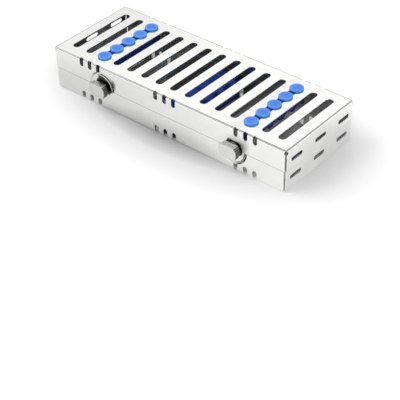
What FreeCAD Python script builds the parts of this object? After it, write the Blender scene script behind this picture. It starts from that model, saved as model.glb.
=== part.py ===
import FreeCAD, Part
import math
import os

# A flat two-half case for five hand instruments, folded from thin steel sheet.
# Millimetres. X runs along the case, Y from its front to its back, Z up.
# The origin is under the middle of the case, on the surface that it rests on.

# Case halves
case_length = 180.0
tray_end_inset = 0.5
case_width = 65.6
half_depth = 14.2
seam_gap = 0.2
sheet = 0.8
bend_inner_radius = 0.25
corner_relief_diameter = 1.8
corner_relief_drop = 1.7
base_corner_radius = 4.0

# Slots across both panels
slot_count = 15
slot_pitch = 11.4
slot_width = 5.0
slot_length = 50.1

# Notches over the long bends, in groups
notch_group_from_end = 29.6
notch_group_offset = 0.8
notches_per_group = 3
notch_pitch = 6.9
notch_width = 3.0
notch_height = 5.2
notch_into_panel = 1.6

# Slots in the end walls
end_slot_count = 3
end_slot_pitch = 22.75
end_slot_length = 10.6
end_slot_width = 2.75
end_slot_from_panel = 8.0

# Latch plates: a pressed half-dish in one half of the case, a tab on the other
latch_left_from_end = 39.8
latch_right_from_end = 37.8
dish_rim_radius = 10.4
dish_floor_radius = 9.2
tab_radius = 8.3
tongue_radius = 6.0
tongue_clearance = 0.45
keyhole_clearance = 0.2

# Latch knob, its stem, spring washer and retaining clip
knob_radius = 6.4
knob_over_flats = 8.9
knob_height = 5.4
knob_underside = 1.4
knob_chamfer = 0.35
hub_radius = 4.2
serration_count = 8
serration_depth = 0.38
serration_angle = 10.5
stem_radius = 2.5
stem_clearance = 0.05
stem_over_flats = 3.2
groove_radius = 1.9
stem_end_length = 0.6
stem_end_chamfer = 0.3
washer_sheet = 0.2
washer_bow = 0.3
washer_play = 0.05
clip_radius = 4.0
clip_sheet = 0.5
clip_mouth = 3.0
clip_play = 0.05
clip_clearance = 0.4

# Rear hinges
hinge_from_end = 39.0
hinge_length = 24.0
hinge_wall_gap = 0.5
leaf_sheet = 0.7
leaf_height = 8.2
leaf_joggle = 2.6
leaf_corner_radius = 1.5
knuckle_gap = 0.2
pin_radius = 1.25
pin_clearance = 0.05
pin_head_radius = 1.7
pin_head_length = 0.5
rivet_spread = 15.0
rivet_radius = 1.0
rivet_clearance = 0.05
rivet_head_radius = 1.8
rivet_head_height = 0.7
rivet_tail_height = 0.4

# Silicone rails under the lid and cradle in the tray
instrument_count = 5
instrument_pitch = 10.87
rail_slot_steps = 5
slot_play = 0.2
rail_width = 4.0
rail_depth = 11.8
rail_end_margin = 5.4
rail_shoulder_width = 7.6
rail_shoulder_height = 2.0
rail_scallop_radius = 5.0
rail_scallop_depth = 2.4
button_radius = 4.35
button_edge = 0.9
button_crown = 0.4
button_crown_radius = 3.2
cradle_width = 17.0
cradle_height = 14.2
cradle_end_margin = 7.2
cradle_bed_radius = 3.6

# Worked out from the sizes above
X = FreeCAD.Vector(1, 0, 0)
Y = FreeCAD.Vector(0, 1, 0)
Z = FreeCAD.Vector(0, 0, 1)
UP = 1
DOWN = -1
half_turn = 180
past = 5.0
near_enough = 0.01
mostly = 0.9
base_length = case_length - 2 * tray_end_inset
latch_left_x = latch_left_from_end - case_length / 2
latch_right_x = case_length / 2 - latch_right_from_end
hinge_left_x = hinge_from_end - case_length / 2
hinge_right_x = case_length / 2 - hinge_from_end
notch_group_step = case_length / 2 - notch_group_from_end
seam_z = half_depth + seam_gap / 2
case_height = 2 * half_depth + seam_gap
bend_radius = sheet + bend_inner_radius
front_y = -case_width / 2
back_y = case_width / 2
dish_depth = sheet + tongue_clearance
dish_back = dish_depth + sheet
clip_start = dish_back + clip_clearance
clip_room = clip_sheet + 2 * clip_play
washer_top = washer_play + washer_bow + washer_sheet
knuckle_bore = pin_radius + pin_clearance
knuckle_radius = knuckle_bore + leaf_sheet
hinge_y = back_y + hinge_wall_gap + knuckle_radius
rivet_rise = (leaf_joggle + leaf_height) / 2
rail_x = rail_slot_steps * slot_pitch


def at(x, y, z):
    """A place in the case's own axes."""
    return FreeCAD.Vector(x, y, z)


def spaced(count, pitch):
    """Places in equal steps, centred on zero."""
    return [(index - (count - 1) / 2) * pitch for index in range(count)]


def fused(shapes):
    """One solid from shapes that touch or overlap."""
    return shapes[0].fuse(shapes[1:]).removeSplitter()


def block(x_range, y_range, z_range):
    """Box between two limits on each axis, in either order."""
    ranges = [sorted(limits) for limits in (x_range, y_range, z_range)]
    size = [high - low for low, high in ranges]
    return Part.makeBox(*size, at(*[low for low, high in ranges]))


def prism(points, vector):
    """Straight extrusion of a closed outline of points."""
    return Part.Face(Part.makePolygon(points + [points[0]])).extrude(vector)


def rounded_block(x_range, y_range, z_range, direction, radius):
    """Block with its two upper edges along a direction rounded."""
    solid = block(x_range, y_range, z_range)
    edges = []
    for edge in solid.Edges:
        along = edge.tangentAt(edge.FirstParameter)
        if abs(along.dot(direction)) > mostly and edge.CenterOfMass.z > max(z_range) - radius / 2:
            edges.append(edge)
    return solid.makeFillet(radius, edges)


def slot_prism(centre, along, across, length, width, vector):
    """Round-ended slot, extruded by a vector."""
    radius = width / 2
    near = centre - along * (length / 2 - radius)
    far = centre + along * (length / 2 - radius)
    side = across * radius
    tip = along * radius
    edges = [
        Part.LineSegment(near + side, far + side).toShape(),
        Part.Arc(far + side, far + tip, far - side).toShape(),
        Part.LineSegment(far - side, near - side).toShape(),
        Part.Arc(near - side, near - tip, near + side).toShape(),
    ]
    return Part.Face(Part.Wire(edges)).extrude(vector)


def turned(profile, place, axis):
    """Solid turned about an axis through a place.

    The profile's points are (radius, distance along the axis from the place).
    """
    points = [at(radius, along, 0) for radius, along in profile]
    solid = Part.Face(Part.makePolygon(points + [points[0]])).revolve(at(0, 0, 0), Y, 2 * half_turn)
    solid.Placement = FreeCAD.Placement(place, FreeCAD.Rotation(Y, axis))
    return solid


def folded_half(length):
    """Half of the case as a plain folded pan, open downwards, with its rim at z = 0.

    The front and back walls end where the bends of the end walls start, so the
    corners stay open slits.
    """
    end_reach = length / 2 - bend_radius
    side_reach = case_width / 2 - bend_radius
    sides = rounded_block(
        (-end_reach, end_reach), (front_y, back_y), (0, half_depth), X, bend_radius)
    side_hollow = rounded_block(
        (-length, length), (front_y + sheet, back_y - sheet), (-past, half_depth - sheet),
        X, bend_inner_radius)
    ends = rounded_block(
        (-length / 2, length / 2), (-side_reach, side_reach), (0, half_depth), Y, bend_radius)
    end_hollow = rounded_block(
        (sheet - length / 2, length / 2 - sheet), (-case_width, case_width),
        (-past, half_depth - sheet), Y, bend_inner_radius)
    return fused([sides.cut(side_hollow), ends.cut(end_hollow)])


def panel_slots():
    """The row of slots across the panel."""
    low = half_depth - sheet - past
    return [
        slot_prism(at(x, 0, low), Y, X, slot_length, slot_width, Z * 2 * past)
        for x in spaced(slot_count, slot_pitch)
    ]


def bend_notches():
    """Groups of notches over both long bends, round at the foot and square in the panel."""
    cutters = []
    length = notch_height + past
    middle_z = half_depth - notch_height + length / 2
    for group_x in (-notch_group_step, 0, notch_group_step):
        for step in spaced(notches_per_group, notch_pitch):
            x = group_x + step + notch_group_offset
            for side in (-1, 1):
                outside = at(x, side * (case_width / 2 + past), middle_z)
                inwards = Y * -side * (past + notch_into_panel)
                cutters.append(slot_prism(outside, Z, X, length, notch_width, inwards))
    return cutters


def end_wall_slots(length):
    """The row of level slots in each end wall."""
    cutters = []
    for side in (-1, 1):
        for y in spaced(end_slot_count, end_slot_pitch):
            outside = at(side * (length / 2 + past), y, half_depth - end_slot_from_panel)
            inwards = X * -side * 2 * past
            cutters.append(
                slot_prism(outside, Y, Z, end_slot_length, end_slot_width, inwards))
    return cutters


def corner_reliefs(length):
    """Level round holes on the diagonal, where two bends meet at a corner."""
    cutters = []
    reach = 2 * bend_radius
    for side_x in (-1, 1):
        for side_y in (-1, 1):
            corner = at(side_x * length / 2, side_y * case_width / 2,
                        half_depth - corner_relief_drop)
            inwards = at(-side_x, -side_y, 0).normalize()
            cutters.append(Part.makeCylinder(
                corner_relief_diameter / 2, 2 * reach, corner - inwards * reach / 2, inwards))
    return cutters


def corner_waste(corner, first, second, inwards, depth):
    """What a round corner leaves off a square one, cut inwards to a depth."""
    start = corner + first * base_corner_radius
    end = corner + second * base_corner_radius
    centre = start + second * base_corner_radius
    middle = centre - (first + second) * (base_corner_radius * math.sqrt(0.5))
    outline = [
        Part.Arc(start, middle, end).toShape(),
        Part.LineSegment(end, end - first).toShape(),
        Part.LineSegment(end - first, corner - first - second).toShape(),
        Part.LineSegment(corner - first - second, start - second).toShape(),
        Part.LineSegment(start - second, start).toShape(),
    ]
    face = Part.Face(Part.Wire(outline))
    face.translate(inwards * -past)
    return face.extrude(inwards * (depth + past))


def rounded_corner_waste(length):
    """Rounds the foot of every wall, and the panel between them, at the four corners."""
    cutters = []
    for side_x in (-1, 1):
        for side_y in (-1, 1):
            corner = at(side_x * length / 2, side_y * case_width / 2, half_depth)
            to_x = X * -side_x
            to_y = Y * -side_y
            down = Z * DOWN
            cutters.append(corner_waste(corner, to_x, down, to_y, bend_radius))
            cutters.append(corner_waste(corner, to_y, down, to_x, bend_radius))
            cutters.append(corner_waste(corner, to_x, to_y, down, sheet))
    return cutters


def dish_place(x, side):
    """Cylinder of wall that the half-dish takes the place of, on one side of the seam."""
    disc = Part.makeCylinder(dish_rim_radius, sheet, at(x, front_y, seam_z), Y)
    return disc.common(beside_seam(x, side))


def beside_seam(x, side):
    """Room on one side of the seam around a latch, up to the rim of the half there."""
    rim_z = seam_z + side * seam_gap / 2
    reach = 2 * dish_rim_radius
    return block((x - reach, x + reach), (front_y - past, front_y + past),
                 (rim_z, rim_z + side * reach))


def pressed_dish(x, side):
    """Half-dish with a round tongue that hangs past the seam behind the other half.

    A keyhole lets the knob's stem out towards the seam's far side when its flats
    are upright.
    """
    pan = turned(
        [(0, dish_depth), (dish_floor_radius, dish_depth), (dish_rim_radius, 0),
         (dish_rim_radius, sheet), (dish_floor_radius, dish_back), (0, dish_back)],
        at(x, front_y, seam_z), Y)
    tongue = Part.makeCylinder(
        tongue_radius, sheet, at(x, front_y + dish_depth, seam_z), Y)
    hole = Part.makeCylinder(
        stem_radius + keyhole_clearance, 2 * past, at(x, front_y - past, seam_z), Y)
    half_neck = stem_over_flats / 2 + keyhole_clearance
    neck = block((x - half_neck, x + half_neck), (front_y - past, front_y + past),
                 (seam_z, seam_z - side * 2 * tongue_radius))
    return fused([pan.common(beside_seam(x, side)), tongue]).cut([hole, neck])


def latch_tab(x):
    """Round tab in the plane of the wall, over the other half's dish."""
    return Part.makeCylinder(tab_radius, sheet, at(x, front_y, seam_z), Y)


def stem_bore(x):
    """Bore of a tab, which the knob's stem turns in."""
    return Part.makeCylinder(
        stem_radius + stem_clearance, sheet + past, at(x, front_y - past / 2, seam_z), Y)


def leaf_rivet_holes(side):
    """Holes through the back wall and the leaves for the rivets on one side of the seam."""
    return [
        Part.makeCylinder(
            rivet_radius + rivet_clearance, 2 * past, at(x, back_y - past, z), Y)
        for hinge_x in (hinge_left_x, hinge_right_x)
        for x, z in rivet_places(hinge_x, side)
    ]


def rivet_places(hinge_x, side):
    """Middle of each rivet of one leaf, as x and z."""
    return [(hinge_x + step, seam_z + side * rivet_rise) for step in spaced(2, rivet_spread)]


def case_half(length, side, dish_x, tab_x, corner_cutters):
    """Finished half of the case, above the seam or below it.

    The dish is joined after the notches are cut, so that it closes the foot of one.
    """
    half = folded_half(length)
    cutters = panel_slots() + bend_notches() + end_wall_slots(length) + corner_cutters
    rim_z = seam_z + side * seam_gap / 2
    for shape in [half] + cutters:
        if side == DOWN:
            shape.rotate(at(0, 0, 0), X, half_turn)
        shape.translate(Z * rim_z)
    half = half.cut(cutters + [dish_place(dish_x, side)] + leaf_rivet_holes(side))
    half = fused([half, pressed_dish(dish_x, side), latch_tab(tab_x)])
    return half.cut(stem_bore(tab_x))


def latch_knob(x):
    """Knob with two flats and serrated ends on a stepped stem.

    It is shown released: the flats of the head lie along the seam, those of the
    stem stand upright.
    """
    flat = knob_over_flats / 2
    disc = Part.makeCylinder(
        knob_radius, knob_height - knob_underside, at(0, -knob_height, 0), Y)
    head = disc.common(block((-past * 2, past * 2), (-past * 2, past * 2), (-flat, flat)))
    rim = [edge for edge in head.Edges if edge.BoundBox.YMax < near_enough - knob_height]
    head = head.makeChamfer(knob_chamfer, rim)
    head = head.cut(serrations())
    stem_end = clip_start + clip_room + stem_end_length
    inside_head = -(knob_height + knob_underside) / 2
    stem = turned(
        [(0, inside_head), (hub_radius, inside_head),
         (hub_radius, -washer_top - washer_play), (stem_radius, -washer_top - washer_play),
         (stem_radius, clip_start), (groove_radius, clip_start),
         (groove_radius, clip_start + clip_room), (stem_radius, clip_start + clip_room),
         (stem_radius, stem_end - stem_end_chamfer),
         (stem_radius - stem_end_chamfer, stem_end), (0, stem_end)],
        at(0, 0, 0), Y)
    flats = [
        block((turn * stem_over_flats / 2, turn * past), (sheet + stem_clearance, clip_start),
              (-past, past))
        for turn in (-1, 1)
    ]
    knob = fused([head, stem.cut(flats)])
    knob.translate(at(x, front_y, seam_z))
    return knob


def serrations():
    """Fine V grooves across the two round ends of the head."""
    cutters = []
    top_y = -2 * knob_height
    outline = [
        at(knob_radius - serration_depth, top_y, 0),
        at(knob_radius + serration_depth, top_y, 2 * serration_depth),
        at(knob_radius + serration_depth, top_y, -2 * serration_depth),
    ]
    for end in (0, half_turn):
        for turn in spaced(serration_count, serration_angle):
            groove = prism(outline, Y * 2 * knob_height)
            groove.rotate(at(0, 0, 0), Y, end + turn)
            cutters.append(groove)
    return cutters


def latch_washer(x):
    """Bowed spring washer between the wall and the knob's hub."""
    reach = hub_radius - stem_clearance
    bow_radius = (reach ** 2 + washer_bow ** 2) / (2 * washer_bow)
    ring = Part.makeCylinder(reach, 2 * past, at(0, -past, 0), Y).cut(
        Part.makeCylinder(stem_radius + keyhole_clearance, 2 * past, at(0, -past, 0), Y))
    crown_y = -washer_play - washer_bow
    centre = at(-past, crown_y + bow_radius, 0)
    outer = Part.makeCylinder(bow_radius + washer_sheet, 2 * past, centre, X)
    inner = Part.makeCylinder(bow_radius, 2 * past, centre, X)
    near_wall = block((-past, past), (-past, 0), (-past, past))
    washer = ring.common(outer.cut(inner)).common(near_wall)
    washer.translate(at(x, front_y, seam_z))
    return washer


def latch_clip(x):
    """Open retaining ring in the groove of the stem, inside the case."""
    start = front_y + clip_start + clip_play
    ring = Part.makeCylinder(clip_radius, clip_sheet, at(x, start, seam_z), Y)
    bore = Part.makeCylinder(
        groove_radius + clip_play, clip_sheet, at(x, start, seam_z), Y)
    mouth = block((x - clip_mouth / 2, x + clip_mouth / 2), (start, start + clip_sheet),
                  (seam_z, seam_z - 2 * clip_radius))
    return ring.cut([bore, mouth])


def knuckle_spans(hinge_x):
    """Three knuckles of a hinge along X, with play between them."""
    step = hinge_length / 3
    spans = []
    for middle in spaced(3, step):
        half = (step - knuckle_gap) / 2
        spans.append((hinge_x + middle - half, hinge_x + middle + half))
    return spans


def hinge_leaf(hinge_x, side):
    """Leaf on the back wall, joggled out and rolled round the pin.

    The lower leaf has the two outer knuckles and the upper one the middle knuckle.
    """
    half = hinge_length / 2
    foot_z = seam_z + side * leaf_joggle
    plate = block((hinge_x - half, hinge_x + half), (back_y, back_y + leaf_sheet),
                  (foot_z, seam_z + side * leaf_height))
    far_corners = [
        edge for edge in plate.Edges
        if abs(edge.tangentAt(0).y) > mostly
        and abs(edge.CenterOfMass.z - seam_z) > leaf_height - near_enough
    ]
    shapes = [plate.makeFillet(leaf_corner_radius, far_corners)]
    spans = knuckle_spans(hinge_x)
    chosen = [spans[1]] if side == UP else [spans[0], spans[2]]
    knuckle_side = hinge_y - knuckle_radius
    for low, high in chosen:
        outline = [
            at(low, back_y, foot_z),
            at(low, back_y + leaf_sheet, foot_z),
            at(low, knuckle_side + leaf_sheet, seam_z),
            at(low, knuckle_side, seam_z),
        ]
        shapes.append(prism(outline, X * (high - low)))
        shapes.append(Part.makeCylinder(
            knuckle_radius, high - low, at(low, hinge_y, seam_z), X))
    bore = Part.makeCylinder(
        knuckle_bore, 2 * hinge_length, at(hinge_x - hinge_length, hinge_y, seam_z), X)
    return fused(shapes).cut([bore] + leaf_rivet_holes(side))


def hinge_pin(hinge_x):
    """Pin with a peened head outside each outer knuckle."""
    reach = hinge_length / 2 - knuckle_gap / 2 + pin_clearance
    shapes = [Part.makeCylinder(
        pin_radius, 2 * reach, at(hinge_x - reach, hinge_y, seam_z), X)]
    for turn in (-1, 1):
        head = Part.makeCylinder(
            pin_head_radius, pin_head_length, at(hinge_x + turn * reach, hinge_y, seam_z),
            X * turn)
        shapes.append(head)
    return fused(shapes)


def leaf_rivets(hinge_x, side):
    """The two domed rivets of one leaf, clenched inside the wall."""
    rivets = []
    outer_y = leaf_sheet
    inner_y = -sheet
    dome_radius = (rivet_head_radius ** 2 + rivet_head_height ** 2) / (2 * rivet_head_height)
    for x, z in rivet_places(hinge_x, side):
        dome = Part.makeSphere(dome_radius, at(0, outer_y + rivet_head_height - dome_radius, 0))
        dome = dome.common(block((-past, past), (outer_y, outer_y + past), (-past, past)))
        shank = turned(
            [(0, outer_y + rivet_head_height / 2), (rivet_radius, outer_y + rivet_head_height / 2),
             (rivet_radius, inner_y), (rivet_head_radius, inner_y),
             (rivet_head_radius, inner_y - rivet_tail_height), (0, inner_y - rivet_tail_height)],
            at(0, 0, 0), Y)
        rivet = fused([dome, shank])
        rivet.translate(at(x, back_y, z))
        rivets.append(rivet)
    return Part.makeCompound(rivets)


def lid_rail(x):
    """Silicone rail: scalloped blade and shoulder under the lid, studs in the slot.

    The shoulder and the studs' round heads hold the panel between them.
    """
    under_z = case_height - sheet
    low_z = under_z - rail_depth
    places = spaced(instrument_count, instrument_pitch)
    half = places[-1] + rail_end_margin
    blade = block((x - rail_width / 2, x + rail_width / 2), (-half, half), (low_z, under_z))
    scallop_z = low_z + rail_scallop_depth - rail_scallop_radius
    scallops = [
        Part.makeCylinder(
            rail_scallop_radius, 2 * rail_width, at(x - rail_width, y, scallop_z), X)
        for y in places
    ]
    shoulder = block((x - rail_shoulder_width / 2, x + rail_shoulder_width / 2), (-half, half),
                     (under_z - rail_shoulder_height, under_z))
    stems = [
        Part.makeCylinder(slot_width / 2 - slot_play, sheet, at(x, y, under_z)) for y in places
    ]
    heads = [button(x, y) for y in places]
    return fused([blade.cut(scallops), shoulder] + stems + heads)


def button(x, y):
    """Round head with an upright edge and a low crown."""
    top = button_edge + button_crown
    return turned(
        [(0, 0), (button_radius, 0), (button_radius, button_edge), (button_crown_radius, top),
         (0, top)],
        at(x, y, case_height), Z)


def tray_cradle():
    """Silicone cradle with a rounded bed for each instrument, keyed into the middle slot."""
    places = spaced(instrument_count, instrument_pitch)
    half = places[-1] + cradle_end_margin
    top_z = sheet + cradle_height
    body = block((-cradle_width / 2, cradle_width / 2), (-half, half), (sheet, top_z))
    beds = [
        Part.makeCylinder(
            cradle_bed_radius, 2 * cradle_width, at(-cradle_width, y, top_z), X)
        for y in places
    ]
    key = slot_prism(at(0, 0, sheet / 2), Y, X, slot_length - 2 * slot_play,
                     slot_width - 2 * slot_play, Z * sheet / 2)
    return fused([body.cut(beds), key])


def build():
    """Every piece by the name of its node."""
    pieces = {
        "base_tray": case_half(base_length, DOWN, latch_right_x, latch_left_x,
                               rounded_corner_waste(base_length)),
        "lid": case_half(case_length, UP, latch_left_x, latch_right_x,
                         corner_reliefs(case_length)),
        "lid_rail_left": lid_rail(-rail_x),
        "lid_rail_right": lid_rail(rail_x),
        "tray_cradle": tray_cradle(),
    }
    for name, x in (("left", latch_left_x), ("right", latch_right_x)):
        pieces["latch_knob_" + name] = latch_knob(x)
        pieces["latch_washer_" + name] = latch_washer(x)
        pieces["latch_clip_" + name] = latch_clip(x)
    for name, x in (("left", hinge_left_x), ("right", hinge_right_x)):
        pieces["tray_leaf_" + name] = hinge_leaf(x, DOWN)
        pieces["lid_leaf_" + name] = hinge_leaf(x, UP)
        pieces["hinge_pin_" + name] = hinge_pin(x)
        pieces["tray_rivets_" + name] = leaf_rivets(x, DOWN)
        pieces["lid_rivets_" + name] = leaf_rivets(x, UP)
    return pieces


def main():
    """Writes one file for each piece."""
    os.makedirs("parts", exist_ok=True)
    for name, shape in build().items():
        shape.exportStep("parts/" + name + ".step")
        print(name, "solids", len(shape.Solids), "valid", shape.isValid(),
              "volume", round(shape.Volume, 2))


main()
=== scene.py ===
import math

import bmesh
import bpy
from mathutils import Matrix, Vector


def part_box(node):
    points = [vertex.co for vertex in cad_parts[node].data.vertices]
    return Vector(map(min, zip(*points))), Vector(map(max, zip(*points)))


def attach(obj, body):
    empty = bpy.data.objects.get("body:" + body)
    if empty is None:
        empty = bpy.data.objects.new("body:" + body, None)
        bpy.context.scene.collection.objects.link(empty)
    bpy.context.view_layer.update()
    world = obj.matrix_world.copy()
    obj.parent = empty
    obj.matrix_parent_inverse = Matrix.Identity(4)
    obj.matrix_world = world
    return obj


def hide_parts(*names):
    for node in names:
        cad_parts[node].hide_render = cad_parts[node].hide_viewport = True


# Looks of a slotted steel instrument case with blue silicone rails.
# Metres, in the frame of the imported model: X along the case, Y from front to back, Z up.
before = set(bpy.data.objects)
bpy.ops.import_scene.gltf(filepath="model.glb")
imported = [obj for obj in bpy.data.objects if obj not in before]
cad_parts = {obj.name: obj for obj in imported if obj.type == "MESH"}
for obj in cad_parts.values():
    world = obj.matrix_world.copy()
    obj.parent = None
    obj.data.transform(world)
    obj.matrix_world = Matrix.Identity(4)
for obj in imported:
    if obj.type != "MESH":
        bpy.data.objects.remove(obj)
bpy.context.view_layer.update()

MM = 0.001

# Camera, found by fitting the case's corners, slots and heads in the photograph
VIEW_AZIMUTH = math.radians(40.55)
VIEW_ELEVATION = math.radians(38.38)
VIEW_ROLL = math.radians(-1.28)
FOCAL_PIXELS = 1197.0
PICTURE_PIXELS = 400
SENSOR_WIDTH = 36.0
CAMERA_RIGHT = 0.34 * MM
CAMERA_UP = -54.45 * MM
CAMERA_BACK = 737.8 * MM

# Silicone pieces, with sizes repeated from the solids that they stand for
INSTRUMENT_COUNT = 5
INSTRUMENT_PITCH = 10.87 * MM
RAIL_X = 57.0 * MM
SLOT_LENGTH = 50.1 * MM
SLOT_WIDTH = 5.0 * MM
SLOT_PLAY = 0.2 * MM
SHEET = 0.8 * MM
RAIL_WIDTH = 4.0 * MM
RAIL_SHOULDER_HALF = 3.8 * MM
RAIL_SHOULDER_HEIGHT = 2.0 * MM
RAIL_SCALLOP_RADIUS = 5.0 * MM
RAIL_SCALLOP_DEPTH = 2.4 * MM
CRADLE_BED_RADIUS = 3.6 * MM
CRADLE_KEY = 0.4 * MM
CRADLE_KEY_ROOT = 0.5 * MM

# Heads of the studs: a chamfered foot, a rim that is wider than high, a low dome and a dimple
HEAD_RADIUS = 4.35 * MM
HEAD_EDGE = 0.9 * MM
HEAD_TOP = 1.3 * MM
HEAD_CHAMFER = 0.15 * MM
RIM_WIDTH = 0.38 * MM
RIM_RISE = 0.4 * RIM_WIDTH
DIMPLE_RADIUS = 0.9 * MM
DIMPLE_FLOOR_RADIUS = 0.45 * MM
DIMPLE_WALL_DEPTH = 0.14 * MM
DIMPLE_DEPTH = 0.18 * MM

# How finely the meshes are made
MOULD_EDGE = 0.35 * MM
MOULD_EDGE_STEPS = 3
ROUND_PROFILE = 0.5
ARC_STEPS = 20
LATHE_STEPS = 64
RIM_STEPS = 6
DOME_STEPS = 8
SHARP_ANGLE = math.radians(40)
WELD_DISTANCE = 0.0005 * MM

# Where the steel sheet's outer skin, its open sides and the pressed dishes are
HALF_WIDTH = 32.8 * MM
LATCH_LEFT_X = -50.2 * MM
LATCH_RIGHT_X = 52.2 * MM
SEAM_Z = 14.3 * MM
SKIN_DEPTH = 0.4 * MM
FAR_AWAY = 1.0
DISH_RADIUS = 10.6 * MM
DISH_REACH = 3.0 * MM

# Latch knobs: levels of painted shade in the serrations, at the middle of the round ends and in
# the gap behind
KNOB_RADIUS = 6.4 * MM
KNOB_FRONT = 5.4 * MM
KNOB_FACE_EDGE = 0.35 * MM
KNOB_BACK = 1.4 * MM
KNOB_END_START = 4.65 * MM
SERRATION_DEPTH = 0.38 * MM
SERRATION_SHADE = (0.05, 1.0)
END_SHADE_REACH = (0.42 * KNOB_RADIUS, 0.66 * KNOB_RADIUS)
END_SHADE = (0.34, 1.0)
GAP_SHADE = 0.08
GAP_HEIGHT = 4.4 * MM

# Margin by which a limit clears the face that it is set for
FACE_MARGIN = 0.05 * MM

# Painted dark reflections of a knob in the tab and the dish behind it: where they start and end
# along the case from the knob's axis, and the levels there
TAB_RADIUS = 8.25 * MM
TAB_SHADE_REACH = (-3.4 * MM, -1.6 * MM)
TAB_SHADE = (1.0, 0.08)
DISH_SHADE_REACH = (1.0 * MM, 8.0 * MM)
DISH_SHADE = (1.0, 0.25)
DISH_SHADE_BACK = -HALF_WIDTH / 2

# Metallic share of the matte cut edge of the tray's tab
TAB_EDGE_METALLIC = 0.1

# Bends at the back and left of the lid's panel, darkened by a painted reflection of the dark
# horizon
EDGE_WIDTH = 1.2 * MM
EDGE_SHADE_LEVEL = 0.62

# Relief holes at the lid's corners, which get hardly any light, darkened by painted shade
RELIEF_SHADE_LEVEL = 0.06
RELIEF_CENTRE = (89.5 * MM, 32.3 * MM, 26.9 * MM)
RELIEF_REACH = 1.25 * MM

# Parts of the tray's inside with painted light, in paler, less metallic steel: its ends, and low
# strips along the walls beside them. Each pair is where the painted light begins and where it is
# full.
PAINTED_LIGHT_END_X = (70 * MM, 80 * MM)
PAINTED_LIGHT_STRIP_X = (34 * MM, 46 * MM)
PAINTED_LIGHT_STRIP_Y = (25.5 * MM, 29 * MM)
PAINTED_LIGHT_STRIP_Z = (9 * MM, 6 * MM)
PAINTED_LIGHT_METALLIC = 0.4
INNER_METALLIC = 0.8

# Rougher ring round the lid's right latch, which mirrors the knob softly. Each pair of
# distances from the latch's axis is where the ring begins or ends.
RING_ROUGHNESS = 0.45
RING_BEGINS = (6.6 * MM, 7.2 * MM)
RING_ENDS = (11 * MM, 15 * MM)

# Colours, linear
SHEET_STEEL = (0.90, 0.90, 0.885, 1.0)
# The inside's darker steel is painted shade.
SHADED_INNER_STEEL = (0.42, 0.43, 0.41, 1.0)
# The paler steel of some parts of the inside is painted light.
PAINTED_LIGHT_STEEL = (0.66, 0.66, 0.64, 1.0)
HINGE_STEEL = (0.80, 0.80, 0.79, 1.0)
TURNED_STEEL = (0.76, 0.76, 0.75, 1.0)
KNOB_STEEL = (0.73, 0.73, 0.72, 1.0)
SPRING_STEEL = (0.60, 0.60, 0.60, 1.0)
SILICONE = (0.078, 0.285, 0.97, 1.0)
# Silicone darkened by painted shade below the lid's top, and nearly black at the rails' ends.
SHADED_SILICONE = (0.025, 0.092, 0.60, 1.0)
SHADED_END_SILICONE = (0.022, 0.03, 0.16, 1.0)
# Painted shade at a head's centre and a painted highlight on its rim.
SHADED_CENTRE_SILICONE = (0.082, 0.245, 0.93, 1.0)
HIGHLIT_RIM_SILICONE = (0.115, 0.39, 1.0, 1.0)
FLOOR = (0.90, 0.90, 0.90, 1.0)
# The floor's darker colour under the case is a painted shadow.
SHADED_FLOOR = (0.45, 0.45, 0.45, 1.0)
WHITE = (1.0, 1.0, 1.0, 1.0)

# Noise: its own roughness and detail, and the span of its values that is spread out
NOISE_ROUGHNESS = 0.6
NOISE_DETAIL = 3.0
NOISE_SPAN = (0.25, 0.75)
NOISE_MIDDLE = 0.5
BUMP_STRENGTH = 0.2

# Steel: scales of the grain per metre along X, Y and Z, and of the soft patches
ROLLED_GRAIN = (60, 4000, 4000)
TURNED_GRAIN = (400, 4000, 400)
KNOB_GRAIN = (2500, 300, 2500)
STEEL_GRAIN_DEPTH = 0.01 * MM
STEEL_PATCHES = (70, 90, 90)
STEEL_PATCH_DETAIL = 4.0
STEEL_PATCH_TINT = (0.95, 1.02)

# Steel finishes: colour, roughness, how far the roughness strays, and grain
SHEET_FINISH = (SHEET_STEEL, 0.17, 0.06, ROLLED_GRAIN)
HINGE_FINISH = (HINGE_STEEL, 0.30, 0.08, ROLLED_GRAIN)
TURNED_FINISH = (TURNED_STEEL, 0.28, 0.08, TURNED_GRAIN)
KNOB_FINISH = (KNOB_STEEL, 0.28, 0.08, KNOB_GRAIN)
SPRING_FINISH = (SPRING_STEEL, 0.30, 0.08, ROLLED_GRAIN)

# Silicone: grain, patches, roughness, the height of the painted shade at a head's foot, and the
# colour of a head from its centre to its rim: painted shade at the centre, a painted highlight on
# the rim
SILICONE_GRAIN = (2500, 2500, 2500)
SILICONE_GRAIN_DEPTH = 0.02 * MM
SILICONE_PATCHES = (160, 160, 160)
SILICONE_PATCH_TINT = (0.92, 1.08)
SILICONE_ROUGHNESS = 0.42
SILICONE_ROUGHNESS_SPAN = (0.34, 0.50)
HEAD_FOOT = 0.3 * MM
HEAD_SHADING_COLORS = ((0.0, SHADED_CENTRE_SILICONE), (0.30, SHADED_CENTRE_SILICONE), (0.66, SILICONE),
               (0.84, HIGHLIT_RIM_SILICONE))

# Studio floor: its colour, darker under the case as a painted shadow, and its glow by distance
# from the middle, in shares of the case's reach, and a sheen for mirrored rays that grows towards
# the right and the front
FLOOR_HALF = 4.0
FLOOR_DROP = 0.05 * MM
CASE_REACH = (110 * MM, 60 * MM)
PAINTED_SHADOW_REACH = (0.55, 0.80)
CAMERA_GLOW_REACH = (0.75, 1.35)
CAMERA_GLOW = 0.34
MIRROR_GLOW_REACH = (1.15, 2.4)
MIRROR_GLOW = 0.60
SHEEN_ALONG = (1.0, -1.0, 0.0)
SHEEN_REACH = (-60 * MM, 110 * MM)
SHEEN = (-0.08, 0.20)

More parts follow.
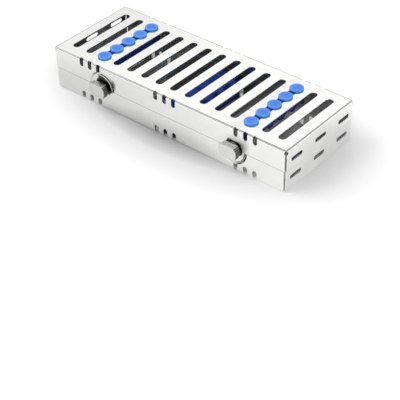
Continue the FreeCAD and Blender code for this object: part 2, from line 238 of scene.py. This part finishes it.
# Studio sky: diffuse level, and level by height for mirrored rays, dark overhead and tilted
SKY_LIGHT = 0.62
SKY_TILT = (0.12, 0.12, 1.0)
SKY_LEVELS = ((0.0, 0.16), (0.20, 0.22), (0.40, 0.76), (0.50, 0.86), (0.53, 1.28),
              (0.63, 1.18), (0.70, 0.28))

# Lamps: name, place and power
LAMP_SIZE = 0.9
LAMPS = (("key_lamp", (-0.7, -0.5, 1.1), 6.0), ("fill_lamp", (0.8, -0.9, 0.9), 3.0))

# Distance between the nodes of a material in its editor
NODE_SPACING = 200


def node(tree, kind, **values):
    """New shader node, in a row with the others, with its sockets or properties set by name."""
    made = tree.nodes.new(kind)
    made.location.x = NODE_SPACING * len(tree.nodes)
    for name, value in values.items():
        label = name.replace("_", " ")
        if label in made.inputs:
            made.inputs[label].default_value = value
        else:
            setattr(made, name, value)
    return made


def feed(tree, sockets, values):
    """Joins each socket to another node's output, or sets it to a number or colour."""
    for socket, value in zip(sockets, values):
        if isinstance(value, bpy.types.NodeSocket):
            tree.links.new(value, socket)
        else:
            socket.default_value = value


def calculated(tree, operation, *values):
    """Result of a math node."""
    made = node(tree, "ShaderNodeMath", operation=operation)
    feed(tree, made.inputs, values)
    return made.outputs[0]


def product(tree, first, *others):
    """Values multiplied one after another."""
    total = first
    for other in others:
        total = calculated(tree, "MULTIPLY", total, other)
    return total


def calculated_vector(tree, operation, *values):
    """Both outputs of a vector math node, its vector and its value."""
    made = node(tree, "ShaderNodeVectorMath", operation=operation)
    feed(tree, made.inputs, values)
    return made.outputs


def length_of(tree, vector):
    """Length of a vector."""
    return calculated_vector(tree, "LENGTH", vector)["Value"]


def split(tree, vector):
    """The X, Y and Z of a vector."""
    parts = node(tree, "ShaderNodeSeparateXYZ")
    feed(tree, parts.inputs, [vector])
    return parts.outputs


def mapped(tree, coordinates, scale, shift=(0, 0, 0)):
    """Coordinates scaled, then shifted."""
    mapping = node(tree, "ShaderNodeMapping", Scale=scale, Location=shift)
    tree.links.new(coordinates, mapping.inputs["Vector"])
    return mapping.outputs[0]


def ramped(tree, value, reach, levels=(0.0, 1.0)):
    """One level up to the first limit, another from the second on, and a slope between."""
    slope = node(tree, "ShaderNodeMapRange", From_Min=reach[0], From_Max=reach[1],
                 To_Min=levels[0], To_Max=levels[1])
    tree.links.new(value, slope.inputs["Value"])
    return slope.outputs[0]


def mixed_value(tree, share, first, second):
    """The first value where the share is 0 and the second where it is 1."""
    mix = node(tree, "ShaderNodeMix", data_type="FLOAT")
    feed(tree, (mix.inputs[0], mix.inputs[2], mix.inputs[3]), (share, first, second))
    return mix.outputs[0]


def mixed_color(tree, share, first, second):
    """The first colour where the share is 0 and the second where it is 1."""
    mix = node(tree, "ShaderNodeMix", data_type="RGBA")
    feed(tree, (mix.inputs[0], mix.inputs[6], mix.inputs[7]), (share, first, second))
    return mix.outputs[2]


def dimmed(tree, color, level):
    """A colour times a level."""
    scaled = node(tree, "ShaderNodeVectorMath", operation="SCALE")
    feed(tree, (scaled.inputs[0], scaled.inputs["Scale"]), (color, level))
    return scaled.outputs[0]


def color_ramp(tree, value, stops):
    """Colour by a value, from (value, colour) stops."""
    ramp = node(tree, "ShaderNodeValToRGB")
    made = ramp.color_ramp.elements
    for index, (position, color) in enumerate(stops):
        stop = made[index] if index < len(made) else made.new(position)
        stop.position = position
        stop.color = color
    tree.links.new(value, ramp.inputs["Fac"])
    return ramp.outputs["Color"]


def noise(tree, coordinates, scale, detail=NOISE_DETAIL):
    """Noise drawn out along the axes with the smaller scales."""
    cloud = node(tree, "ShaderNodeTexNoise", Scale=1.0, Detail=detail,
                 Roughness=NOISE_ROUGHNESS)
    tree.links.new(mapped(tree, coordinates, scale), cloud.inputs["Vector"])
    return cloud.outputs["Fac"]


def object_coordinates(tree):
    """The object's own coordinates, which are those of the frame."""
    return node(tree, "ShaderNodeTexCoord").outputs["Object"]


def blank_material(name):
    """Material with an empty node tree."""
    material = bpy.data.materials.new(name)
    material.use_nodes = True
    material.node_tree.nodes.clear()
    return material, material.node_tree


def surface(tree, color, roughness, metallic):
    """Principled shader joined to the output."""
    shader = node(tree, "ShaderNodeBsdfPrincipled", Base_Color=color, Roughness=roughness,
                  Metallic=metallic)
    output = node(tree, "ShaderNodeOutputMaterial")
    tree.links.new(shader.outputs[0], output.inputs[0])
    return shader


def bumped(tree, shader, height, depth):
    """Fine relief from a height value."""
    bump = node(tree, "ShaderNodeBump", Strength=BUMP_STRENGTH, Distance=depth)
    tree.links.new(height, bump.inputs["Height"])
    tree.links.new(bump.outputs[0], shader.inputs["Normal"])


def steel_material(name, color, roughness, stray, grain):
    """Bright steel with a fine grain, and soft patches in its colour and roughness."""
    material, tree = blank_material(name)
    shader = surface(tree, color, roughness, 1.0)
    coordinates = object_coordinates(tree)
    fine = noise(tree, coordinates, grain)
    patches = noise(tree, coordinates, STEEL_PATCHES, STEEL_PATCH_DETAIL)
    tint = dimmed(tree, color[:3], ramped(tree, patches, NOISE_SPAN, STEEL_PATCH_TINT))
    tree.links.new(tint, shader.inputs["Base Color"])
    both = product(tree, fine, patches, 1 / NOISE_MIDDLE)
    rough = ramped(tree, both, NOISE_SPAN, (roughness - stray, roughness + stray))
    tree.links.new(rough, shader.inputs["Roughness"])
    bumped(tree, shader, fine, STEEL_GRAIN_DEPTH)
    return material, tree, shader, coordinates, tint


def from_axis(tree, coordinates, x):
    """Place in the front wall's plane, seen from the latch axis at one place along the case."""
    return mapped(tree, coordinates, (1, 0, 1), (-x, 0, -SEAM_Z))


def distance_from(tree, coordinates, x):
    """Distance in the front wall's plane from the latch axis at one place along the case."""
    return length_of(tree, from_axis(tree, coordinates, x))


def near_dish(tree, coordinates, x):
    """1 within a flattened ball round one latch, which takes in the pressed dish."""
    scale = (1 / DISH_RADIUS, 1 / DISH_REACH, 1 / DISH_RADIUS)
    centre = (x, -HALF_WIDTH, SEAM_Z)
    shift = [-place * factor for place, factor in zip(centre, scale)]
    away = length_of(tree, mapped(tree, coordinates, scale, shift))
    return calculated(tree, "LESS_THAN", away, 1.0)


def outer_skin(tree, coordinates, low, high):
    """1 on the outer skin of a folded half and on the pressed dishes, 0 inside.

    The two corners are those of the half's outer skin, far away on its open side.
    """
    masks = []
    for part, least, most in zip(split(tree, coordinates), low, high):
        masks.append(calculated(tree, "LESS_THAN", part, least + SKIN_DEPTH))
        masks.append(calculated(tree, "GREATER_THAN", part, most - SKIN_DEPTH))
    for x in (LATCH_LEFT_X, LATCH_RIGHT_X):
        masks.append(near_dish(tree, coordinates, x))
    whole = masks[0]
    for mask in masks[1:]:
        whole = calculated(tree, "MAXIMUM", whole, mask)
    return whole


def latch_shade(tree, coordinates, x, radius, reach, levels, tests):
    """Level that changes along the case, within a radius of one latch and past some limits.

    Each test has an axis, the side of the limit that takes the shade, and the limit.
    """
    parts = split(tree, coordinates)
    slope = ramped(tree, parts["X"], (x + reach[0], x + reach[1]), levels)
    share = calculated(tree, "LESS_THAN", distance_from(tree, coordinates, x), radius)
    for axis, side, limit in tests:
        share = product(tree, share, calculated(tree, side, parts[axis], limit))
    return mixed_value(tree, share, 1.0, slope)


def dish_shade(tree, coordinates, x):
    """Level of a half with a dish, darker towards the right in that dish by a painted reflection
    of the knob.
    """
    in_dish = (("Y", "GREATER_THAN", FACE_MARGIN - HALF_WIDTH),
               ("Y", "LESS_THAN", DISH_SHADE_BACK))
    return latch_shade(tree, coordinates, x, DISH_RADIUS, DISH_SHADE_REACH, DISH_SHADE, in_dish)


def tab_shade(tree, coordinates):
    """Level of the tray, dark on its tab from near the knob's axis to the right: a painted
    reflection of the knob.
    """
    on_tab = (("Y", "LESS_THAN", FACE_MARGIN - HALF_WIDTH), ("Z", "GREATER_THAN", SEAM_Z))
    return latch_shade(tree, coordinates, LATCH_LEFT_X, TAB_RADIUS, TAB_SHADE_REACH, TAB_SHADE,
                       on_tab)


def edge_shade(tree, coordinates, low, high):
    """Level of the lid, dim along the back and left edges of its panel: a painted dark
    reflection.
    """
    x, y, z = split(tree, coordinates)
    left = calculated(tree, "LESS_THAN", x, low.x + EDGE_WIDTH)
    back = calculated(tree, "GREATER_THAN", y, HALF_WIDTH - EDGE_WIDTH)
    on_top = calculated(tree, "GREATER_THAN", z, high.z - SKIN_DEPTH)
    share = product(tree, calculated(tree, "MAXIMUM", left, back), on_top)
    return mixed_value(tree, share, 1.0, EDGE_SHADE_LEVEL)


def relief_shade(tree, coordinates):
    """Level of the lid, with painted shade at the four corners' relief holes."""
    folded = calculated_vector(tree, "ABSOLUTE", coordinates)["Vector"]
    offset = calculated_vector(tree, "SUBTRACT", folded, RELIEF_CENTRE)["Vector"]
    near = calculated(tree, "LESS_THAN", length_of(tree, offset), RELIEF_REACH)
    return mixed_value(tree, near, 1.0, RELIEF_SHADE_LEVEL)


def tab_edge(tree, coordinates):
    """Factor of the tray's metallic share, small on the matte cut edge of its tab."""
    away = distance_from(tree, coordinates, LATCH_LEFT_X)
    past_face = calculated(tree, "GREATER_THAN", away, TAB_RADIUS)
    near = calculated(tree, "LESS_THAN", away, TAB_RADIUS + SKIN_DEPTH)
    height = split(tree, coordinates)["Z"]
    above = calculated(tree, "GREATER_THAN", height, SEAM_Z + SKIN_DEPTH)
    share = product(tree, past_face, near, above)
    return mixed_value(tree, share, 1.0, TAB_EDGE_METALLIC)


def painted_light_share(tree, coordinates):
    """1 on the parts of the tray's inside that get painted light, 0 elsewhere.

    The strip along the back is only on the right, the strip along the front on both sides.
    """
    x, y, z = split(tree, coordinates)
    side = calculated(tree, "ABSOLUTE", x)
    front_reach = [-limit for limit in PAINTED_LIGHT_STRIP_Y]
    front = product(tree, ramped(tree, side, PAINTED_LIGHT_STRIP_X), ramped(tree, y, front_reach))
    back = product(tree, ramped(tree, x, PAINTED_LIGHT_STRIP_X), ramped(tree, y, PAINTED_LIGHT_STRIP_Y))
    strips = product(tree, calculated(tree, "ADD", front, back),
                     ramped(tree, z, PAINTED_LIGHT_STRIP_Z))
    return calculated(tree, "MAXIMUM", ramped(tree, side, PAINTED_LIGHT_END_X), strips)


def roughened(tree, coordinates, shader):
    """Raises the lid's roughness in the ring round its right latch."""
    rough = shader.inputs["Roughness"].links[0].from_socket
    away = distance_from(tree, coordinates, LATCH_RIGHT_X)
    share = product(tree, ramped(tree, away, RING_BEGINS),
                    ramped(tree, away, RING_ENDS, (1.0, 0.0)))
    tree.links.new(mixed_value(tree, share, rough, RING_ROUGHNESS), shader.inputs["Roughness"])


def lid_material():
    """Folded sheet of the lid: bright outer skin, inside darker by painted shade."""
    material, tree, shader, coordinates, tint = steel_material("folded_steel_lid", *SHEET_FINISH)
    low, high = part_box("lid")
    tint = dimmed(tree, tint, dish_shade(tree, coordinates, LATCH_LEFT_X))
    tint = dimmed(tree, tint, edge_shade(tree, coordinates, low, high))
    tint = dimmed(tree, tint, relief_shade(tree, coordinates))
    roughened(tree, coordinates, shader)
    skin = outer_skin(tree, coordinates, (low.x, -HALF_WIDTH, -FAR_AWAY),
                      (high.x, HALF_WIDTH, high.z))
    metallic = mixed_value(tree, skin, INNER_METALLIC, 1.0)
    tree.links.new(metallic, shader.inputs["Metallic"])
    # Inside the outer skin the colour is painted shade.
    tree.links.new(mixed_color(tree, skin, SHADED_INNER_STEEL, tint), shader.inputs["Base Color"])
    return material


def tray_material():
    """Folded sheet of the tray: bright outer skin, inside darker by painted shade, with paler
    parts of painted light.
    """
    material, tree, shader, coordinates, tint = steel_material("folded_steel_tray", *SHEET_FINISH)
    low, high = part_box("base_tray")
    tint = dimmed(tree, tint, dish_shade(tree, coordinates, LATCH_RIGHT_X))
    tint = dimmed(tree, tint, tab_shade(tree, coordinates))
    skin = outer_skin(tree, coordinates, (low.x, -HALF_WIDTH, low.z),
                      (high.x, HALF_WIDTH, FAR_AWAY))
    # Paler, less metallic parts of the inside, which are painted light.
    lit_share = painted_light_share(tree, coordinates)
    metallic = mixed_value(tree, lit_share, INNER_METALLIC, PAINTED_LIGHT_METALLIC)
    metallic = mixed_value(tree, skin, metallic, 1.0)
    metallic = product(tree, metallic, tab_edge(tree, coordinates))
    inner = mixed_color(tree, lit_share, SHADED_INNER_STEEL, PAINTED_LIGHT_STEEL)
    tree.links.new(metallic, shader.inputs["Metallic"])
    tree.links.new(mixed_color(tree, skin, inner, tint), shader.inputs["Base Color"])
    return material


def knob_material(name, knob_x):
    """Turned steel with painted shade in the serrations of the round ends and in the gap behind
    the head.
    """
    material, tree, shader, coordinates, tint = steel_material(name, *KNOB_FINISH)
    offset = from_axis(tree, coordinates, knob_x)
    x, _, z = split(tree, offset)
    across = calculated(tree, "ABSOLUTE", x)
    upright = calculated(tree, "ABSOLUTE", z)
    depth = split(tree, coordinates)["Y"]
    groove = ramped(tree, length_of(tree, offset), (KNOB_RADIUS - SERRATION_DEPTH, KNOB_RADIUS),
                    SERRATION_SHADE)
    ridges = product(tree, groove, ramped(tree, upright, END_SHADE_REACH, END_SHADE))
    at_end = calculated(tree, "GREATER_THAN", across, KNOB_END_START)
    behind_face = calculated(tree, "GREATER_THAN", depth,
                             KNOB_FACE_EDGE - KNOB_FRONT - HALF_WIDTH)
    behind_head = calculated(tree, "GREATER_THAN", depth,
                             -KNOB_BACK - HALF_WIDTH - FACE_MARGIN)
    near_middle = calculated(tree, "LESS_THAN", upright, GAP_HEIGHT)
    # Painted shade in the serrations, the middles of the round ends and the gap behind the head.
    level = mixed_value(tree, product(tree, at_end, behind_face), 1.0, ridges)
    level = mixed_value(tree, product(tree, behind_head, near_middle), level, GAP_SHADE)
    tree.links.new(dimmed(tree, tint, level), shader.inputs["Base Color"])
    return material


def head_distance(tree, x, y):
    """Distance from the nearest head's centre as a share of its radius."""
    across = calculated(tree, "SUBTRACT", calculated(tree, "ABSOLUTE", x), RAIL_X)
    along = calculated(tree, "WRAP", y, INSTRUMENT_PITCH / 2, -INSTRUMENT_PITCH / 2)
    joined = node(tree, "ShaderNodeCombineXYZ")
    feed(tree, joined.inputs, (across, along))
    return product(tree, length_of(tree, joined.outputs[0]), 1 / HEAD_RADIUS)


def silicone_material(case_top, rail_end):
    """Satin silicone, a little uneven, with dust-fine grain; painted shade makes it deeper below
    the lid's top and at the heads' feet.

    The rails' end faces are painted nearly black as shade.
    """
    material, tree = blank_material("blue_silicone")
    shader = surface(tree, SILICONE, SILICONE_ROUGHNESS, 0.0)
    coordinates = object_coordinates(tree)
    fine = noise(tree, coordinates, SILICONE_GRAIN)
    patches = noise(tree, coordinates, SILICONE_PATCHES)
    x, y, z = split(tree, coordinates)
    # Painted shade at the heads' centres and a painted highlight on their rims.
    heads = color_ramp(tree, head_distance(tree, x, y), HEAD_SHADING_COLORS)
    at_end = calculated(tree, "GREATER_THAN", calculated(tree, "ABSOLUTE", y),
                        rail_end - MOULD_EDGE)
    # Painted shade below the lid's top, nearly black at the rails' ends.
    below = mixed_color(tree, at_end, SHADED_SILICONE, SHADED_END_SILICONE)
    above = ramped(tree, z, (case_top - SHEET, case_top + HEAD_FOOT))
    uneven = ramped(tree, patches, NOISE_SPAN, SILICONE_PATCH_TINT)
    color = dimmed(tree, mixed_color(tree, above, below, heads), uneven)
    tree.links.new(color, shader.inputs["Base Color"])
    rough = ramped(tree, fine, NOISE_SPAN, SILICONE_ROUGHNESS_SPAN)
    tree.links.new(rough, shader.inputs["Roughness"])
    bumped(tree, shader, fine, SILICONE_GRAIN_DEPTH)
    return material


def new_object(name, data):
    """Object in the scene, from a mesh, a lamp or a camera."""
    made = bpy.data.objects.new(name, data)
    bpy.context.scene.collection.objects.link(made)
    return made


def mesh_from(work, name):
    """Mesh from a bmesh, with its faces outwards."""
    bmesh.ops.remove_doubles(work, verts=work.verts, dist=WELD_DISTANCE)
    bmesh.ops.recalc_face_normals(work, faces=work.faces)
    mesh = bpy.data.meshes.new(name)
    work.to_mesh(mesh)
    work.free()
    return mesh


def prism(outline, vector):
    """Closed prism from a flat outline of points and a vector."""
    work = bmesh.new()
    near = [work.verts.new(point) for point in outline]
    far = [work.verts.new(point + vector) for point in outline]
    work.faces.new(near)
    work.faces.new(list(reversed(far)))
    count = len(outline)
    for index in range(count):
        after = (index + 1) % count
        work.faces.new((near[index], far[index], far[after], near[after]))
    return work


def ring(work, centre, radius, height):
    """Round row of points about an upright axis, or a single point on it."""
    if radius == 0:
        return [work.verts.new(centre + Vector((0, 0, height)))]
    made = []
    for step in range(LATHE_STEPS):
        turn = 2 * math.pi * step / LATHE_STEPS
        point = Vector((radius * math.cos(turn), radius * math.sin(turn), height))
        made.append(work.verts.new(centre + point))
    return made


def lathe(profile, centre):
    """Closed turned solid about an upright axis from (radius, height) points."""
    work = bmesh.new()
    rings = [ring(work, centre, radius, height) for radius, height in profile]
    for low, high in zip(rings, rings[1:]):
        for step in range(LATHE_STEPS):
            after = (step + 1) % LATHE_STEPS
            corners = [low[step % len(low)], low[after % len(low)],
                       high[after % len(high)], high[step % len(high)]]
            work.faces.new(list(dict.fromkeys(corners)))
    return work


def united(name, works, material):
    """One closed piece from solids that overlap, smooth but for its creases."""
    parts = []
    for index, work in enumerate(works):
        mesh = mesh_from(work, "%s_part_%d" % (name, index))
        parts.append(new_object(mesh.name, mesh))
    whole = parts[0]
    for part in parts[1:]:
        union = whole.modifiers.new("union", "BOOLEAN")
        union.operation = "UNION"
        union.solver = "EXACT"
        union.object = part
    evaluated = whole.evaluated_get(bpy.context.evaluated_depsgraph_get())
    mesh = bpy.data.meshes.new_from_object(evaluated)
    mesh.name = name
    for part in parts:
        bpy.data.objects.remove(part)
    mesh.materials.clear()
    mesh.materials.append(material)
    mesh.shade_smooth()
    mesh.set_sharp_from_angle(angle=SHARP_ANGLE)
    return new_object(name, mesh)


def arc(centre, radius, start, end):
    """Points of an arc in one plane, as pairs like its centre."""
    points = []
    for step in range(ARC_STEPS + 1):
        turn = start + (end - start) * step / ARC_STEPS
        points.append((centre[0] + radius * math.cos(turn),
                       centre[1] + radius * math.sin(turn)))
    return points


def places():
    """The five instruments' places across the case."""
    return [(index - (INSTRUMENT_COUNT - 1) / 2) * INSTRUMENT_PITCH
            for index in range(INSTRUMENT_COUNT)]


def moulded_bar(low_x, high_x, outline):
    """Bar along X with a Y and Z outline and soft moulded edges."""
    points = [Vector((low_x, y, z)) for y, z in outline]
    work = prism(points, Vector((high_x - low_x, 0, 0)))
    bmesh.ops.recalc_face_normals(work, faces=work.faces)
    sharp = [edge for edge in work.edges if edge.calc_face_angle(0) > SHARP_ANGLE]
    bmesh.ops.bevel(work, geom=sharp, offset=MOULD_EDGE, segments=MOULD_EDGE_STEPS,
                    profile=ROUND_PROFILE, affect="EDGES", clamp_overlap=True)
    return work


def slot_key(low_z, height):
    """Upright round-ended key that fills the middle slot of a panel."""
    radius = SLOT_WIDTH / 2 - SLOT_PLAY
    reach = SLOT_LENGTH / 2 - SLOT_PLAY - radius
    outline = []
    for side, start in ((1, 0), (-1, math.pi)):
        for x, y in arc((0.0, side * reach), radius, start, start + math.pi):
            outline.append(Vector((x, y, low_z)))
    return prism(outline, Vector((0, 0, height)))


def stud_profile():
    """Half section of a stud: stem, and a head with rounded rim, low dome and dimple."""
    stem_radius = SLOT_WIDTH / 2 - SLOT_PLAY
    stem_foot = -SHEET - RAIL_SHOULDER_HEIGHT / 2
    dome_radius = HEAD_RADIUS - RIM_WIDTH
    dome_foot = HEAD_EDGE + RIM_RISE
    profile = [(0, stem_foot), (stem_radius, stem_foot), (stem_radius, 0),
               (HEAD_RADIUS - HEAD_CHAMFER, 0), (HEAD_RADIUS, HEAD_CHAMFER)]
    for step in range(RIM_STEPS + 1):
        turn = math.pi / 2 * step / RIM_STEPS
        profile.append((dome_radius + RIM_WIDTH * math.cos(turn),
                        HEAD_EDGE - RIM_RISE + 2 * RIM_RISE * math.sin(turn)))
    for step in range(1, DOME_STEPS + 1):
        radius = dome_radius + (DIMPLE_RADIUS - dome_radius) * step / DOME_STEPS
        share = 1 - (radius / dome_radius) ** 2
        profile.append((radius, dome_foot + (HEAD_TOP - dome_foot) * share))
    profile += [(DIMPLE_FLOOR_RADIUS, HEAD_TOP - DIMPLE_WALL_DEPTH),
                (0, HEAD_TOP - DIMPLE_DEPTH)]
    return profile


def rail(name, material):
    """Rail under the lid: scalloped blade, shoulder, and studs with round heads."""
    low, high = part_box(name)
    lid_top = high.z - HEAD_TOP
    under = lid_top - SHEET
    middle_x = (low.x + high.x) / 2
    scallop_z = low.z + RAIL_SCALLOP_DEPTH - RAIL_SCALLOP_RADIUS
    half_turn = math.acos((low.z - scallop_z) / RAIL_SCALLOP_RADIUS)
    blade = [(low.y, under), (low.y, low.z)]
    for y in places():
        blade += arc((y, scallop_z), RAIL_SCALLOP_RADIUS, math.pi / 2 + half_turn,
                     math.pi / 2 - half_turn)
    blade += [(high.y, low.z), (high.y, under)]
    shoulder = [(low.y, under), (low.y, under - RAIL_SHOULDER_HEIGHT),
                (high.y, under - RAIL_SHOULDER_HEIGHT), (high.y, under)]
    works = [moulded_bar(middle_x - half, middle_x + half, outline)
             for half, outline in ((RAIL_WIDTH / 2, blade), (RAIL_SHOULDER_HALF, shoulder))]
    for y in places():
        works.append(lathe(stud_profile(), Vector((middle_x, y, lid_top))))
    piece = united(name + "_moulding", works, material)
    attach(piece, "lid")
    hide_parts(name)


def cradle(material):
    """Cradle with five round beds, keyed into the middle slot of the tray."""
    low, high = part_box("tray_cradle")
    foot = low.z + CRADLE_KEY
    outline = [(low.y, high.z), (low.y, foot), (high.y, foot), (high.y, high.z)]
    for y in reversed(places()):
        outline += arc((y, high.z), CRADLE_BED_RADIUS, 0, -math.pi)
    works = [moulded_bar(low.x, high.x, outline), slot_key(low.z, CRADLE_KEY + CRADLE_KEY_ROOT)]
    piece = united("tray_cradle_moulding", works, material)
    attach(piece, "tray")
    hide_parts("tray_cradle")


def paint(material, *names):
    """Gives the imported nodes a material."""
    for name in names:
        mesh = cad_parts[name].data
        mesh.materials.clear()
        mesh.materials.append(material)


def both_sides(*stems):
    """Names of the left and right piece of each stem."""
    return [stem + side for stem in stems for side in ("_left", "_right")]


def make_pieces():
    """Finishes the steel nodes and puts moulded silicone in place of its plain solids."""
    hinge_steel = steel_material("hinge_steel", *HINGE_FINISH)[0]
    turned_steel = steel_material("turned_steel", *TURNED_FINISH)[0]
    spring_steel = steel_material("spring_steel", *SPRING_FINISH)[0]
    paint(tray_material(), "base_tray")
    paint(lid_material(), "lid")
    silicone = silicone_material(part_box("lid")[1].z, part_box("lid_rail_left")[1].y)
    paint(hinge_steel, *both_sides("tray_leaf", "lid_leaf"))
    paint(turned_steel, *both_sides("hinge_pin", "tray_rivets", "lid_rivets"))
    paint(knob_material("knob_steel_left", LATCH_LEFT_X), "latch_knob_left")
    paint(knob_material("knob_steel_right", LATCH_RIGHT_X), "latch_knob_right")
    paint(spring_steel, *both_sides("latch_washer", "latch_clip"))
    for name in both_sides("lid_rail"):
        rail(name, silicone)
    cradle(silicone)


def floor_distance(tree, coordinates):
    """Distance from the middle of the floor, in shares of the case's reach."""
    scale = (1 / CASE_REACH[0], 1 / CASE_REACH[1], 0)
    return length_of(tree, mapped(tree, coordinates, scale))


def floor_glow(tree, coordinates, away):
    """Strength of the floor's glow: none under the case, more away from it."""
    camera_glow = ramped(tree, away, CAMERA_GLOW_REACH, (0.0, CAMERA_GLOW))
    mirror_glow = ramped(tree, away, MIRROR_GLOW_REACH, (0.0, MIRROR_GLOW))
    along = calculated_vector(tree, "DOT_PRODUCT", coordinates, SHEEN_ALONG)["Value"]
    sheen = ramped(tree, along, SHEEN_REACH, SHEEN)
    path = node(tree, "ShaderNodeLightPath").outputs
    for_camera = product(tree, camera_glow, path["Is Camera Ray"])
    mirrored = calculated(tree, "ADD", mirror_glow, sheen)
    for_mirror = product(tree, mirrored, path["Is Glossy Ray"])
    return calculated(tree, "ADD", for_camera, for_mirror)


def make_floor():
    """Wide pale floor that keeps the object's soft shadow, darker under the case by a painted
    shadow, and glows away from it.
    """
    material, tree = blank_material("studio_floor")
    coordinates = object_coordinates(tree)
    away = floor_distance(tree, coordinates)
    # The floor's colour is darker under the case: a painted shadow.
    color = mixed_color(tree, ramped(tree, away, PAINTED_SHADOW_REACH), SHADED_FLOOR, FLOOR)
    matte = node(tree, "ShaderNodeBsdfDiffuse")
    glow = node(tree, "ShaderNodeEmission", Color=WHITE)
    total = node(tree, "ShaderNodeAddShader")
    output = node(tree, "ShaderNodeOutputMaterial")
    tree.links.new(color, matte.inputs["Color"])
    tree.links.new(floor_glow(tree, coordinates, away), glow.inputs["Strength"])
    feed(tree, total.inputs, (matte.outputs[0], glow.outputs[0]))
    tree.links.new(total.outputs[0], output.inputs[0])
    work = bmesh.new()
    bmesh.ops.create_grid(work, x_segments=1, y_segments=1, size=FLOOR_HALF)
    mesh = bpy.data.meshes.new("floor")
    work.to_mesh(mesh)
    work.free()
    mesh.materials.append(material)
    floor = new_object("floor", mesh)
    floor.location.z = -FLOOR_DROP


def background(tree, color, strength=1.0):
    """Background shader, where a strength of 1 leaves the colour as it is."""
    made = node(tree, "ShaderNodeBackground", Strength=strength)
    feed(tree, made.inputs, [color])
    return made.outputs[0]


def mixed_shader(tree, share, first, second):
    """The first shader where the share is 0 and the second where it is 1."""
    mix = node(tree, "ShaderNodeMixShader")
    feed(tree, mix.inputs, (share, first, second))
    return mix.outputs[0]


def make_world():
    """White studio for the camera; the steel mirrors it dark overhead and near the horizon."""
    world = bpy.data.worlds.new("studio")
    bpy.context.scene.world = world
    world.use_nodes = True
    tree = world.node_tree
    tree.nodes.clear()
    direction = node(tree, "ShaderNodeTexCoord").outputs["Generated"]
    height = calculated_vector(tree, "DOT_PRODUCT", direction, SKY_TILT)["Value"]
    grays = [(place, (level, level, level, 1.0)) for place, level in SKY_LEVELS]
    mirrored = background(tree, color_ramp(tree, height, grays))
    light = background(tree, WHITE, SKY_LIGHT)
    white = background(tree, WHITE)
    path = node(tree, "ShaderNodeLightPath").outputs
    by_gloss = mixed_shader(tree, path["Is Glossy Ray"], light, mirrored)
    by_camera = mixed_shader(tree, path["Is Camera Ray"], by_gloss, white)
    output = node(tree, "ShaderNodeOutputWorld")
    tree.links.new(by_camera, output.inputs[0])


def make_lamp(name, place, power):
    """Soft square lamp that faces the case and that the steel doesn't mirror."""
    data = bpy.data.lights.new(name, "AREA")
    data.shape = "SQUARE"
    data.size = LAMP_SIZE
    data.energy = power
    lamp = new_object(name, data)
    lamp.location = place
    lamp.rotation_mode = "QUATERNION"
    lamp.rotation_quaternion = (-Vector(place)).to_track_quat("-Z", "Y")
    lamp.visible_glossy = False


def make_camera():
    """Camera at the photograph's viewing angle and focal length."""
    right = Vector((math.cos(VIEW_AZIMUTH), math.sin(VIEW_AZIMUTH), 0))
    back = Vector((math.sin(VIEW_AZIMUTH) * math.cos(VIEW_ELEVATION),
                   -math.cos(VIEW_AZIMUTH) * math.cos(VIEW_ELEVATION),
                   math.sin(VIEW_ELEVATION)))
    up = back.cross(right)
    rolled_right = math.cos(VIEW_ROLL) * right + math.sin(VIEW_ROLL) * up
    rolled_up = math.cos(VIEW_ROLL) * up - math.sin(VIEW_ROLL) * right
    place = rolled_right * CAMERA_RIGHT + rolled_up * CAMERA_UP + back * CAMERA_BACK
    data = bpy.data.cameras.new("camera")
    data.sensor_width = SENSOR_WIDTH
    data.lens = FOCAL_PIXELS * SENSOR_WIDTH / PICTURE_PIXELS
    camera = new_object("camera", data)
    turned = Matrix((rolled_right, rolled_up, back)).transposed()
    camera.matrix_world = Matrix.Translation(place) @ turned.to_4x4()
    bpy.context.scene.camera = camera


make_camera()
make_floor()
make_world()
for name, place, power in LAMPS:
    make_lamp(name, place, power)
make_pieces()
bpy.context.scene.view_settings.view_transform = "Standard"
